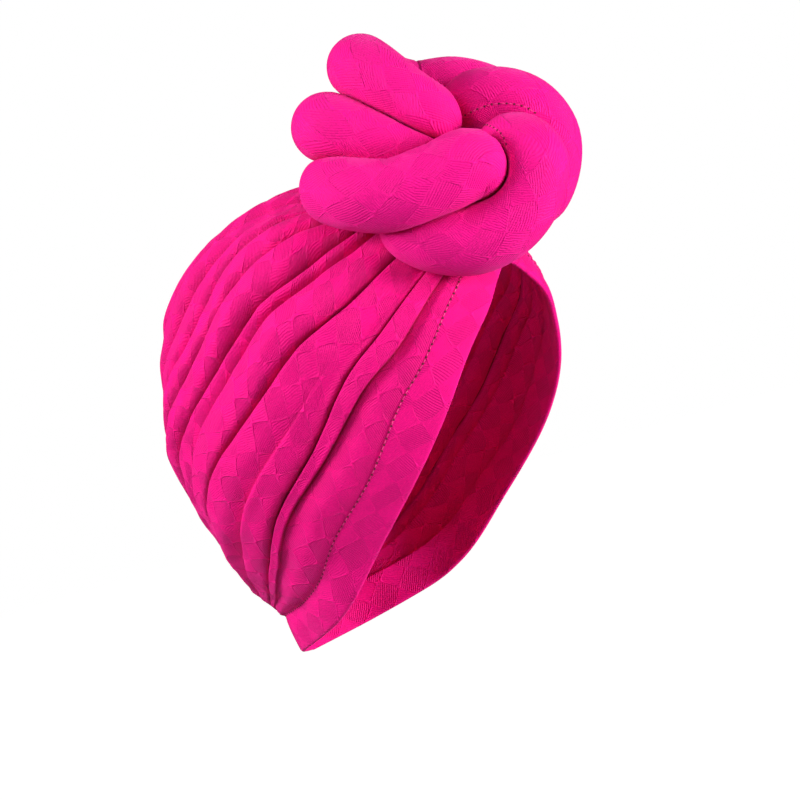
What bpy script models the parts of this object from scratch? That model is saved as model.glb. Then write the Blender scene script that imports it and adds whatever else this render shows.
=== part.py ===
"""Turban cap: a gathered, lapped cap of stretch knit with a hem band and a knot of stuffed rolls.

Metres. +Z is up, the face looks along -Y, and +X is the wearer's left. The origin is the middle of the
head that fills the hollow. Each piece is a grid of points worked out by a function, closed into one solid.
"""

import bpy
import numpy as np
from mathutils.bvhtree import BVHTree

# Driving sizes
head_half_width = 0.076
head_half_length = 0.094
head_half_height = 0.091
cloth_wall = 0.0016
band_wall = 0.0030
roll_diameter = 0.0348
piece_gap = 0.0004
seat_gap = 0.0016
press_gap = 0.0010
seat_depth = 0.0200
crown_rows = 18
points_per_fold = 5
band_columns = 4
roll_sides = 14
roll_step = 0.0072

# Colours, as linear red, green and blue
CLOTH_PINK = (0.807, 0.016, 0.216, 1.0)

# The face opening from the V under the knot (0) round the right side to the nape (1), and the crest of the
# crown above each place. Out is a share of head_half_width, back of head_half_length and up of
# head_half_height. Wrap is the angle, in degrees, that the crown sweeps from its crest to the seam.
OPENING = [
    # round, edge_out, edge_back, edge_up, seam_out, seam_back, seam_up, crest_back, crest_up, wrap
    (0.00, 0.00, -0.94, 0.41, 0.00, -0.83, 0.66, -0.77, 0.74, 92),
    (0.06, 0.17, -0.94, 0.31, 0.33, -0.86, 0.42, -0.46, 0.98, 116),
    (0.14, 0.33, -0.93, 0.19, 0.55, -0.81, 0.25, -0.17, 1.00, 124),
    (0.25, 0.53, -0.84, 0.00, 0.72, -0.69, 0.04, 0.15, 1.05, 126),
    (0.38, 0.68, -0.68, -0.26, 0.84, -0.52, -0.15, 0.53, 1.03, 124),
    (0.52, 0.75, -0.43, -0.53, 0.88, -0.23, -0.46, 0.91, 0.76, 123),
    (0.66, 0.74, -0.09, -0.81, 0.86, 0.11, -0.71, 1.15, 0.34, 123),
    (0.80, 0.68, 0.31, -1.11, 0.74, 0.38, -0.92, 1.22, -0.17, 119),
    (0.92, 0.51, 0.66, -1.23, 0.52, 0.70, -1.03, 1.17, -0.66, 109),
    (0.97, 0.30, 0.92, -1.29, 0.28, 0.96, -1.08, 1.14, -0.88, 102),
    (1.00, 0.00, 1.04, -1.32, 0.00, 1.07, -1.10, 1.09, -1.08, 94),
]
CROWN_START, CROWN_END = 0.010, 0.994

# The valleys between the folds of the crown, from the seam on the right (-1) over the crest (0) to the
# seam on the left (1), each at the knot, halfway and at the nape. Lift is how far the fold that follows
# stands up, as a share of its own width, and lean moves its ridge towards the next valley.
FOLDS = [
    # at_knot, at_middle, at_nape, lift, lean
    (-1.00, -1.00, -1.00, 0.16, 0.10),
    (-0.92, -0.90, -0.86, 0.50, 0.00),
    (-0.88, -0.855, -0.80, 0.22, -0.30),
    (-0.76, -0.71, -0.61, 0.38, -0.20),
    (-0.66, -0.63, -0.54, 0.46, -0.10),
    (-0.56, -0.575, -0.47, 0.42, -0.20),
    (-0.47, -0.49, -0.36, 0.46, -0.10),
    (-0.40, -0.43, -0.27, 0.42, -0.10),
    (-0.30, -0.36, -0.19, 0.40, -0.15),
    (-0.21, -0.25, -0.12, 0.42, -0.10),
    (-0.12, -0.14, -0.05, 0.38, 0.00),
    (-0.03, -0.03, 0.02, 0.42, 0.00),
    (0.07, 0.08, 0.08, 0.38, 0.10),
    (0.16, 0.19, 0.15, 0.42, 0.10),
    (0.25, 0.29, 0.22, 0.40, 0.15),
    (0.34, 0.38, 0.30, 0.46, 0.10),
    (0.43, 0.47, 0.38, 0.40, 0.15),
    (0.53, 0.56, 0.47, 0.44, 0.10),
    (0.63, 0.65, 0.56, 0.36, 0.20),
    (0.75, 0.76, 0.66, 0.32, 0.25),
    (0.86, 0.86, 0.79, 0.46, 0.00),
    (0.92, 0.91, 0.86, 0.30, -0.10),
    (1.00, 1.00, 1.00, 0.00, 0.00),
]

# The knot lies in a leaning frame of its own: along is the wearer's front and down, up leans back, and out
# points to the wearer's right front. Its angles are in degrees.
knot_turn = -54.0
knot_rise = 1.0
knot_lean = 18.2
# The middle of the knot, as shares of the half sizes of the head
KNOT_CENTRE = (-0.21, -0.87, 1.00)

# Routes of the rolls in the knot's frame, in roll diameters. Girth is a share of the roll's own diameter.
ROLLS = {
    "knot_roll_lower": [
        # along, up, out, girth
        (0.44, -0.54, 0.10, 0.80),
        (0.55, -0.32, 0.48, 0.96),
        (0.38, -0.12, 0.72, 1.00),
        (-0.06, -0.34, 0.85, 1.00),
        (-0.66, -0.58, 0.80, 1.00),
        (-1.18, -0.55, 0.60, 0.98),
        (-1.44, -0.46, 0.22, 0.96),
        (-1.22, -0.40, -0.18, 0.90),
        (-0.80, -0.36, -0.30, 0.78),
    ],
    "knot_roll_middle": [
        (-0.08, -0.08, 0.06, 0.78),
        (-0.20, 0.04, 0.20, 0.92),
        (-0.56, 0.13, 0.26, 1.00),
        (-1.08, 0.24, 0.28, 1.00),
        (-1.46, 0.34, 0.12, 0.98),
        (-1.56, 0.42, -0.34, 0.96),
        (-1.32, 0.44, -0.92, 0.98),
        (-0.76, 0.32, -1.28, 1.00),
        (-0.10, 0.08, -1.38, 1.00),
        (0.48, -0.16, -1.32, 1.00),
        (0.88, -0.38, -1.16, 0.92),
        (1.00, -0.54, -0.84, 0.76),
    ],
    "knot_roll_upper": [
        (0.04, 0.34, -0.48, 0.76),
        (-0.10, 0.42, -0.30, 0.94),
        (-0.56, 0.79, -0.26, 1.00),
        (-0.94, 1.12, -0.32, 0.97),
        (-1.10, 1.26, -0.74, 0.92),
        (-0.88, 1.10, -1.18, 0.94),
        (-0.38, 0.94, -1.42, 1.00),
        (0.22, 0.99, -1.42, 1.00),
        (0.78, 0.78, -1.34, 1.00),
        (1.18, 0.30, -1.24, 0.94),
        (1.22, -0.02, -0.98, 0.76),
    ],
    "knot_loop_front": [
        (-0.74, -0.84, 0.18, 0.72),
        (-0.46, -0.98, 0.36, 0.90),
        (-0.06, -1.10, 0.50, 1.00),
        (0.42, -1.12, 0.58, 1.00),
        (0.86, -0.88, 0.60, 1.00),
        (1.12, -0.48, 0.56, 1.00),
        (1.16, -0.08, 0.50, 1.00),
        (1.02, 0.16, 0.38, 0.98),
        (0.76, 0.22, 0.16, 0.92),
        (0.56, 0.14, -0.12, 0.74),
    ],
    "knot_loop_top": [
        (0.10, 0.52, -0.80, 0.76),
        (0.34, 0.68, -0.66, 0.96),
        (0.76, 0.76, -0.56, 1.00),
        (1.14, 0.64, -0.52, 1.00),
        (1.38, 0.34, -0.52, 1.00),
        (1.38, -0.14, -0.52, 1.00),
        (1.18, -0.54, -0.50, 0.98),
        (0.94, -0.78, -0.44, 0.80),
    ],
}


def column(table, index, at):
    """A smooth curve through one column of a table: cubic Hermite pieces whose slopes are the rise over
    the run between each row's neighbours."""
    rows = np.array(table, float)
    x, y = rows[:, 0], rows[:, index]
    slope = np.gradient(y, x)
    at = np.asarray(at, float)
    k = np.clip(np.searchsorted(x, at, side="right") - 1, 0, len(x) - 2)
    run = x[k + 1] - x[k]
    t = (at - x[k]) / run
    start = (1 + 2 * t) * (1 - t) ** 2 * y[k] + t * (1 - t) ** 2 * run * slope[k]
    end = t * t * (3 - 2 * t) * y[k + 1] + t * t * (t - 1) * run * slope[k + 1]
    return start + end


def opening_line(first, at):
    """The edge (first column 1) or the seam (4) of the face opening on the right side, so out is -X."""
    out, back, up = (column(OPENING, first + i, at) for i in range(3))
    return np.stack([-out * head_half_width, back * head_half_length, up * head_half_height], -1)


def crown_base(across, along):
    """The crown before its folds: above the chord between the two seams, an arc that swings round by the
    wrap angle each way from the crest, across its width by the sine and up its height by the cosine."""
    seam = opening_line(4, along)
    chord = seam * [0.0, 1.0, 1.0]
    crest = np.stack(
        [0 * along, column(OPENING, 7, along) * head_half_length, column(OPENING, 8, along) * head_half_height], -1
    )
    wrap = np.radians(column(OPENING, 9, along))
    swing = across * wrap
    height = (np.cos(swing) - np.cos(wrap)) / (1 - np.cos(wrap))
    points = chord + (crest - chord) * height[..., None]
    points[..., 0] = -seam[..., 0] * np.sin(swing) / np.sin(wrap)
    return points


def normals_of(points):
    """Unit normals of a grid of points, from the cross product of its two directions."""
    normal = np.cross(np.gradient(points, axis=0), np.gradient(points, axis=1))
    return normal / np.linalg.norm(normal, axis=-1, keepdims=True)


def crown_rounds():
    """The places round the opening where the crown has a row, closer together at the knot and the nape."""
    rows = 0.5 - 0.5 * np.cos(np.linspace(0, np.pi, crown_rows))
    return CROWN_START + (CROWN_END - CROWN_START) * rows


def crown_grid():
    """The outer face of the crown: its base pushed out by the folds, each a rounded ridge between two
    valleys whose height is its lift times its width."""
    folds = np.array(FOLDS, float)
    along = crown_rounds()
    knot, middle, nape = (folds[:, [i]] for i in range(3))
    valleys = knot * (1 - along) * (1 - 2 * along) + middle * 4 * along * (1 - along) + nape * along * (2 * along - 1)
    share = np.arange(points_per_fold) / points_per_fold
    start, width = valleys[:-1, None, :], np.diff(valleys, axis=0)[:, None, :]
    across = (start + width * share[None, :, None]).reshape(-1, crown_rows)
    across = np.vstack([across, valleys[-1:]])
    lean = folds[:-1, 4][:, None]
    leant = share[None, :] + lean * share[None, :] * (1 - share[None, :])
    ridge = np.sin(np.pi * leant) ** 0.85 * folds[:-1, 3][:, None]
    ridge = np.append(ridge.reshape(-1), 0.0)
    base = crown_base(across, np.broadcast_to(along, across.shape))
    edges = base[::points_per_fold]
    widths = np.linalg.norm(np.diff(edges, axis=0), axis=-1)
    widths = np.vstack([np.repeat(widths, points_per_fold, axis=0), widths[-1:]])
    return base + normals_of(base) * (ridge[:, None] * widths)[..., None]


def solid_from(name, points, faces, material):
    mesh = bpy.data.meshes.new(name)
    mesh.from_pydata([tuple(p) for p in points], [], [tuple(f) for f in faces])
    mesh.materials.append(material)
    mesh.validate()
    mesh.shade_smooth()
    piece = bpy.data.objects.new(name, mesh)
    bpy.context.scene.collection.objects.link(piece)
    return piece


def wall_of(outer, inner, wraps):
    """Points and faces of two grids closed into one wall. Where it wraps, the last row joins the first."""
    rows, columns = outer.shape[:2]
    index = np.arange(rows * columns).reshape(rows, columns)
    if wraps:
        index = np.vstack([index, index[:1]])
    under = index + rows * columns

    def quads(a, b):
        return np.stack([a[:-1], a[1:], b[1:], b[:-1]], -1)

    faces = [
        np.stack([index[:-1, :-1], index[1:, :-1], index[1:, 1:], index[:-1, 1:]], -1).reshape(-1, 4),
        np.stack([under[:-1, :-1], under[:-1, 1:], under[1:, 1:], under[1:, :-1]], -1).reshape(-1, 4),
        quads(under[:, 0], index[:, 0]),
        quads(index[:, -1], under[:, -1]),
    ]
    if not wraps:
        faces.append(quads(index[0], under[0]))
        faces.append(quads(under[-1], index[-1]))
    points = np.concatenate([outer.reshape(-1, 3), inner.reshape(-1, 3)])
    return points, np.concatenate(faces)


def make_crown(material):
    """The folded crown, and the tree that tells how near a point comes to it or to the head under it."""
    outer = crown_grid()
    normal = normals_of(outer)
    crown = solid_from("crown", *wall_of(outer, outer - normal * cloth_wall, False), material)
    return crown, solid_tree(*wall_of(outer, outer - normal * seat_depth, False))


def make_band(material):
    """The hem round the face opening: a closed strip that runs from the seam to the edge."""
    right = np.concatenate([[0.0], crown_rounds(), [1.0]])
    at = np.concatenate([right, right[-2:0:-1]])
    side = np.where(np.arange(len(at)) < len(right), 1.0, -1.0)[:, None] * [1.0, 0.0, 0.0] + [0.0, 1.0, 1.0]
    edge, seam = opening_line(1, at) * side, opening_line(4, at) * side
    width = np.linalg.norm(edge - seam, axis=-1)[:, None, None]
    across = piece_gap / width + np.linspace(0, 1, band_columns)[:, None] * (1 - piece_gap / width)
    outer = seam[:, None] + (edge - seam)[:, None] * across
    normal = normals_of(np.concatenate([outer[-1:], outer, outer[:1]]))[1:-1]
    band = solid_from("band", *wall_of(outer, outer - normal * band_wall, True), material)
    return band, solid_tree(*wall_of(outer, outer - normal * seat_depth, True))


def solid_tree(points, faces):
    return BVHTree.FromPolygons([tuple(p) for p in points], [tuple(f) for f in faces])


def knot_axes():
    """Rows: along, up and out of the knot's frame, from its turn, rise and lean."""
    turn, rise, lean = np.radians([knot_turn, knot_rise, knot_lean])
    out = np.array([np.sin(turn) * np.cos(rise), -np.cos(turn) * np.cos(rise), np.sin(rise)])
    level = np.cross([0.0, 0.0, 1.0], out)
    level /= np.linalg.norm(level)
    rising = np.cross(out, level)
    along = level * np.cos(lean) - rising * np.sin(lean)
    up = level * np.sin(lean) + rising * np.cos(lean)
    return np.array([along, up, out])


def roll_route(rows):
    """A smooth line through a roll's rows, with a point every roll_step: centres and half girths."""
    rows = np.array(rows, float)
    centre = np.array(KNOT_CENTRE) * [head_half_width, head_half_length, head_half_height]
    points = centre + rows[:, :3] * roll_diameter @ knot_axes()
    reach = np.concatenate([[0], np.cumsum(np.linalg.norm(np.diff(points, axis=0), axis=1))])
    table = np.column_stack([reach, points, rows[:, 3] * roll_diameter / 2])
    fine = np.linspace(0, reach[-1], 400)
    curve = np.stack([column(table, i, fine) for i in range(1, 5)], -1)
    run = np.concatenate([[0], np.cumsum(np.linalg.norm(np.diff(curve[:, :3], axis=0), axis=1))])
    count = int(run[-1] / roll_step) + 1
    at = np.linspace(0, run[-1], count)
    return np.stack([np.interp(at, run, curve[:, i]) for i in range(4)], -1)


def carried_frames(centres):
    """Two directions across a line at each of its points, turned as little as the line itself turns."""
    tangent = np.gradient(centres, axis=0)
    tangent /= np.linalg.norm(tangent, axis=1, keepdims=True)
    side = np.cross(tangent[0], [0.0, 0.0, 1.0])
    sides = []
    for direction in tangent:
        side = side - direction * (side @ direction)
        side = side / np.linalg.norm(side)
        sides.append(side)
    sides = np.array(sides)
    return tangent, sides, np.cross(tangent, sides)


def distance_to_route(points, route):
    """How far each point lies outside a roll: its distance to the nearest stretch of the roll's line less
    the half girth there."""
    start, end = route[:-1, :3], route[1:, :3]
    step = end - start
    share = np.einsum("pkc,kc->pk", points[:, None] - start, step) / (step**2).sum(1)
    share = np.clip(share, 0, 1)
    nearest = start + share[..., None] * step
    girth = route[:-1, 3] + share * (route[1:, 3] - route[:-1, 3])
    return (np.linalg.norm(points[:, None] - nearest, axis=-1) - girth).min(axis=1)


def height_over(points, tree):
    """How far each point lies outside a seat: less than nothing under its face, down to its depth."""
    found = [tree.find_nearest(point) for point in points]
    place = np.array([f[0] for f in found])
    facing = np.array([f[1] for f in found])
    away = points - place
    distance = np.linalg.norm(away, axis=1)
    return distance * np.where((distance < seat_depth) & ((away * facing).sum(1) < 0), -1, 1)


def make_roll(name, routes, seats, material):
    """A stuffed roll: round rings along its line with round ends, drawn in along each spoke until the ring
    keeps the press gap to where the roll would meet its neighbours and the seat gap to the crown, then a
    little more wherever the middle of a facet still comes nearer to the crown than that."""
    route = routes[name]
    tangent, side, other_side = carried_frames(route[:, :3])
    cap = np.minimum(np.arange(len(route)), np.arange(len(route))[::-1]) * roll_step / (route[:, 3])
    cap = np.sqrt(1 - (1 - np.clip(cap + 0.05, 0, 1)) ** 2)
    angle = np.arange(roll_sides) * 2 * np.pi / roll_sides
    spoke = side[:, None] * np.cos(angle)[None, :, None] + other_side[:, None] * np.sin(angle)[None, :, None]
    full = route[:, 3] * cap
    centres = np.repeat(route[:, None, :3], roll_sides, axis=1).reshape(-1, 3)
    reach = (spoke * full[:, None, None]).reshape(-1, 3)
    others = [routes[other] for other in routes if other != name]
    low, high = np.zeros(len(reach)), np.ones(len(reach))
    for _ in range(12):
        middle = (low + high) / 2
        points = centres + reach * middle[:, None]
        own = distance_to_route(points, route)
        free = np.min([height_over(points, seat) for seat in seats], axis=0) > seat_gap
        for other in others:
            free &= distance_to_route(points, other) - own > press_gap
        low, high = np.where(free, middle, low), np.where(free, high, middle)
    share = low.reshape(len(route), roll_sides)
    for _ in range(10):
        rings = centres.reshape(len(route), roll_sides, 3) + reach.reshape(len(route), roll_sides, 3) * share[..., None]
        beside = np.roll(rings, -1, axis=1)
        middles = [(rings + beside)[:-1] / 2, (rings[:-1] + rings[1:]) / 2, (rings[:-1] + beside[1:]) / 2,
                   (beside[:-1] + rings[1:]) / 2]
        near = np.zeros((len(route) - 1, roll_sides), bool)
        for middle in middles:
            flat = middle.reshape(-1, 3)
            near |= (np.min([height_over(flat, seat) for seat in seats], axis=0) < 0.7 * seat_gap).reshape(near.shape)
        near = np.vstack([near, near[-1:]]) | np.vstack([near[:1], near])
        share = np.where(near | np.roll(near, 1, axis=1), share * 0.94, share)
    tips = route[[0, -1], :3] + tangent[[0, -1]] * [[-0.002], [0.002]]
    points = np.concatenate([rings.reshape(-1, 3), tips])
    index = np.arange(len(route) * roll_sides).reshape(len(route), roll_sides)
    ahead = np.roll(index, -1, axis=1)
    walls = np.stack([index[:-1], ahead[:-1], ahead[1:], index[1:]], -1).reshape(-1, 4)
    first, last = len(points) - 2, len(points) - 1
    faces = [tuple(f) for f in walls]
    faces += [(first, b, a) for a, b in zip(index[0], ahead[0])]
    faces += [(last, a, b) for a, b in zip(index[-1], ahead[-1])]
    return solid_from(name, points, faces, material)


def knit_material(name, colour, roughness):
    material = bpy.data.materials.new(name)
    material.use_nodes = True
    shader = material.node_tree.nodes["Principled BSDF"]
    shader.inputs["Base Color"].default_value = colour
    shader.inputs["Roughness"].default_value = roughness
    shader.inputs["Metallic"].default_value = 0.0
    return material


def main():
    for old in list(bpy.data.objects):
        bpy.data.objects.remove(old)
    crown, crown_seat = make_crown(knit_material("crown_knit", CLOTH_PINK, 0.75))
    band, band_seat = make_band(knit_material("band_knit", CLOTH_PINK, 0.72))
    routes = {name: roll_route(rows) for name, rows in ROLLS.items()}
    for name in ROLLS:
        make_roll(name, routes, (crown_seat, band_seat), knit_material(name + "_knit", CLOTH_PINK, 0.70))


main()
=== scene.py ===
# %% [markdown]
# Turban cap: a lesson in gathered cloth
#
# A turban cap is stretch knit sewn to a hem band, gathered to a knot of stuffed rolls. Cloth like this is hard
# to sculpt by hand, but easy to describe: folds run from the knot to the nape, so each point of the crown has
# an address of two numbers, how far round the opening and how far across. Every piece below is such a surface.

import bpy
import numpy as np
from mathutils import Matrix
from mathutils.bvhtree import BVHTree


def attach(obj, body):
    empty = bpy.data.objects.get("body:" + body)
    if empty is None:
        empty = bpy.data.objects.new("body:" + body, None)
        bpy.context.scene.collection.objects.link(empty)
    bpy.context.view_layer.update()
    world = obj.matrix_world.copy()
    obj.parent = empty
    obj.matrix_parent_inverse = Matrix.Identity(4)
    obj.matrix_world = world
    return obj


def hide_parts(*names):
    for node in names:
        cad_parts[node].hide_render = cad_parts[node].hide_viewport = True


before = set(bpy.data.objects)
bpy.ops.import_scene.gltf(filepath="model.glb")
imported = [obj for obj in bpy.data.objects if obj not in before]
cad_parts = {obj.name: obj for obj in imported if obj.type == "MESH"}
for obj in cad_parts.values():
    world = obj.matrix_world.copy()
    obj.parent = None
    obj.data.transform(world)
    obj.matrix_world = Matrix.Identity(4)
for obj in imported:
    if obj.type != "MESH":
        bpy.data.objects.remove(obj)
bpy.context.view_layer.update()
print("solids:", sorted(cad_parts))

# %% [markdown]
# The camera
#
# The picture was taken from the wearer's right front, level with the cap, with the cap tipped back. Tipping the
# camera does the same as tipping the cap, and keeps the model upright for its other views. So the camera gets
# a turn, a rise and a lean, and its three axes are written out as the columns of its matrix.

# %% Camera
camera_turn, camera_rise, camera_lean = np.radians([-54.0, 1.0, 18.2])
camera_distance = 1.5
picture_side = 800
pixels_per_metre = 2050.0
origin_across, origin_down = 387.3, 377.6
sensor_width = 36.0


def leaning_axes(turn, rise, lean):
    """Right, up and back of an eye that looks at the origin: back is the unit vector of turn and rise, right is
    level, and the lean turns right and up about back."""
    back = np.array([np.sin(turn) * np.cos(rise), -np.cos(turn) * np.cos(rise), np.sin(rise)])
    level = np.cross([0.0, 0.0, 1.0], back)
    level /= np.linalg.norm(level)
    rising = np.cross(back, level)
    right = level * np.cos(lean) - rising * np.sin(lean)
    return np.array([right, level * np.sin(lean) + rising * np.cos(lean), back])


def stand(thing, directions, at):
    """Puts a camera or a lamp in the scene, with its axes and its place as the columns of its matrix."""
    columns = np.eye(4)
    columns[:3] = np.column_stack([*directions, at])
    bpy.context.scene.collection.objects.link(thing)
    thing.matrix_world = Matrix(columns.tolist())


view_right, view_up, view_back = leaning_axes(camera_turn, camera_rise, camera_lean)
half_picture = picture_side / 2
aim = view_right * (half_picture - origin_across) - view_up * (half_picture - origin_down)
aim = aim / pixels_per_metre
place = aim + view_back * camera_distance
lens = bpy.data.cameras.new("camera")
lens.sensor_width = sensor_width
lens.lens = sensor_width * camera_distance * pixels_per_metre / picture_side
camera = bpy.data.objects.new("camera", lens)
stand(camera, (view_right, view_up, view_back), place)
bpy.context.scene.camera = camera
print("lens", round(lens.lens, 1), "mm")

# %% [markdown]
# Light and floor
#
# Product pictures of bright knit use large soft lights and a white surround, so the colour stays full and only
# the creases go dark. Two broad area lights, one from each side, shape the folds, a third fills in from below,
# and weak ones stand in front, above and behind. The world and a pale floor, well below because the cap is held
# up as on a head, look white to the camera but send little light back.

# %% Light and floor
scene = bpy.context.scene
scene.view_settings.view_transform = "Standard"
world = bpy.data.worlds.new("studio")
scene.world = world
world.use_nodes = True
world_nodes, world_links = world.node_tree.nodes, world.node_tree.links
backdrop = world_nodes["Background"]
backdrop.inputs["Color"].default_value = (1.0, 1.0, 1.0, 1.0)
backdrop.inputs["Strength"].default_value = 0.02
seen = world_nodes.new("ShaderNodeBackground")
seen.inputs["Color"].default_value = (1.0, 1.0, 1.0, 1.0)
either = world_nodes.new("ShaderNodeMixShader")
world_links.new(world_nodes.new("ShaderNodeLightPath").outputs["Is Camera Ray"], either.inputs[0])
world_links.new(backdrop.outputs[0], either.inputs[1])
world_links.new(seen.outputs[0], either.inputs[2])
world_links.new(either.outputs[0], world_nodes["World Output"].inputs["Surface"])

LIGHTS = [
    # name, metres right, up and back of the cap as the camera sees it, watts, side
    ("right key", 1.40, 0.36, 0.62, 36.0, 0.6),
    ("left key", -1.28, 0.36, 0.38, 23.0, 0.6),
    ("front", -0.50, 0.40, 1.25, 7.0, 0.6),
    ("top", 0.0, 1.40, 0.30, 4.0, 0.6),
    ("low fill", -0.90, -1.10, 0.65, 34.0, 0.7),
    ("rim", 0.3, 1.2, -1.3, 4.0, 1.2),
]
for name, right, up, back, watts, side in LIGHTS:
    lamp = bpy.data.lights.new(name, "AREA")
    lamp.energy, lamp.size = watts, side
    away = right * view_right + up * view_up + back * view_back
    towards = away / np.linalg.norm(away)
    sideways = np.cross([0.0, 0.0, 1.0], towards)
    sideways /= np.linalg.norm(sideways)
    stand(bpy.data.objects.new(name, lamp), (sideways, np.cross(towards, sideways), towards), away)

floor_height, floor_reach = -0.42, 6.0
floor_mesh = bpy.data.meshes.new("floor")
corners = np.array([(-1, -1, 0), (1, -1, 0), (1, 1, 0), (-1, 1, 0)]) * floor_reach
floor_mesh.from_pydata((corners + [0, 0, floor_height]).tolist(), [], [(0, 1, 2, 3)])
floor = bpy.data.objects.new("floor", floor_mesh)
scene.collection.objects.link(floor)
pale = bpy.data.materials.new("pale_floor")
pale.use_nodes = True
pale_shader = pale.node_tree.nodes["Principled BSDF"]
pale_shader.inputs["Base Color"].default_value = (0.35, 0.35, 0.35, 1.0)
pale_shader.inputs["Roughness"].default_value = 0.9
pale_shader.inputs["Emission Color"].default_value = (1.0, 1.0, 1.0, 1.0)
towards_camera = pale.node_tree.nodes.new("ShaderNodeLightPath").outputs["Is Camera Ray"]
pale.node_tree.links.new(towards_camera, pale_shader.inputs["Emission Strength"])
floor_mesh.materials.append(pale)
print(len(LIGHTS), "lights, floor at", floor_height, "m")

# %% [markdown]
# The knit as a finish
#
# The cloth is a jacquard: rounded cells with fine ribs, and plainer cells between them, each with a thin raised
# outline. The sum of two cosines is high at the points of a square lattice and low between them, so its zero
# line draws the outlines. A product of the cosines rounds the ribbed cells. The colour gets painted shade in
# the rib grooves and a painted highlight on the raised outlines. The pattern reads the cloth's own map, in
# millimetres, so it bends with the folds. It is one node group, placed in each material.

# %% Node helpers


def node(tree, kind, inputs=(), **settings):
    """Adds a node, sets its properties, and fills its inputs: a socket is linked and a value is set."""
    made = tree.nodes.new(kind)
    for name, value in settings.items():
        setattr(made, name, value)
    for where, value in dict(inputs).items():
        value = getattr(value, "socket", value)
        if isinstance(value, bpy.types.NodeSocket):
            tree.links.new(value, made.inputs[where])
        else:
            made.inputs[where].default_value = value
    return made


class Value:
    """A number that nodes work out: a formula is written with +, -, * and / and each sign adds a node."""

    def __init__(self, socket):
        self.socket = socket

    def math(self, operation, *others):
        inputs = enumerate((self,) + others)
        return Value(node(self.socket.id_data, "ShaderNodeMath", inputs, operation=operation).outputs[0])

    def __add__(self, other):
        return self.math("ADD", other)

    def __sub__(self, other):
        return self.math("SUBTRACT", other)

    def __rsub__(self, other):
        return self.math("MULTIPLY", -1.0).math("ADD", other)

    def __mul__(self, other):
        return self.math("MULTIPLY", other)

    def __truediv__(self, other):
        return self.math("DIVIDE", other)


def ramp(value, low, high, start=0.0, end=1.0):
    """start below low, end above high, and a smooth step between."""
    tree, limits = value.socket.id_data, {0: value, 1: low, 2: high, 3: start, 4: end}
    return Value(node(tree, "ShaderNodeMapRange", limits, interpolation_type="SMOOTHSTEP").outputs[0])


def vector(tree, operation, first, second):
    """A vector formula: SCALE takes a number second, and the others a vector."""
    inputs = {0: first, "Scale" if operation == "SCALE" else 1: second}
    return node(tree, "ShaderNodeVectorMath", inputs, operation=operation).outputs[0]


def noise(tree, place, scale, detail, output=0):
    inputs = {"Vector": place, "Scale": scale, "Detail": detail}
    return node(tree, "ShaderNodeTexNoise", inputs).outputs[output]


# %% Knit group
KNIT_NUMBERS = ("Cell across", "Cell along", "Rib", "Turn", "Spread", "Warp", "Edge", "Fill")
full_turn = 2 * np.pi
cell_rounding, cell_growth = 0.22, 0.28
cell_edge, outline_edge = (-0.05, 0.12), (0.02, 0.20)
outline_height, plain_height, loop_height = 0.95, 0.45, 0.35
# The ribbed cells' own tone, painted shade in the rib grooves, a painted highlight on the raised outlines, and
# a random tone for each cell.
ribbed_tone, groove_painted_shade, outline_painted_highlight, chance_tone = 0.07, 0.09, 0.09, 0.04


def knit_cells(tree, cloth, cell_across, cell_along, warp):
    """The place on the cloth, moved a little by a slow noise, the count of the cell there, and the field
    cos a + cos b + rounding cos a cos b + growth, which is over 0 inside a ribbed cell."""
    drift = vector(tree, "SUBTRACT", noise(tree, cloth, 0.045, 1.0, "Color"), (0.5, 0.5, 0.5))
    place = vector(tree, "ADD", cloth, vector(tree, "SCALE", drift, warp))
    x, y = (Value(part) for part in node(tree, "ShaderNodeSeparateXYZ", {0: place}).outputs[:2])
    across, along = x / cell_across, y / cell_along
    wave_across, wave_along = (axis.math("MULTIPLY", full_turn).math("COSINE") for axis in (across, along))
    field = wave_across + wave_along + (wave_across * wave_along * cell_rounding + cell_growth)
    cell = node(tree, "ShaderNodeCombineXYZ", {0: across.math("ROUND"), 1: along.math("ROUND")}).outputs[0]
    return x, y, cell, field


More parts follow.
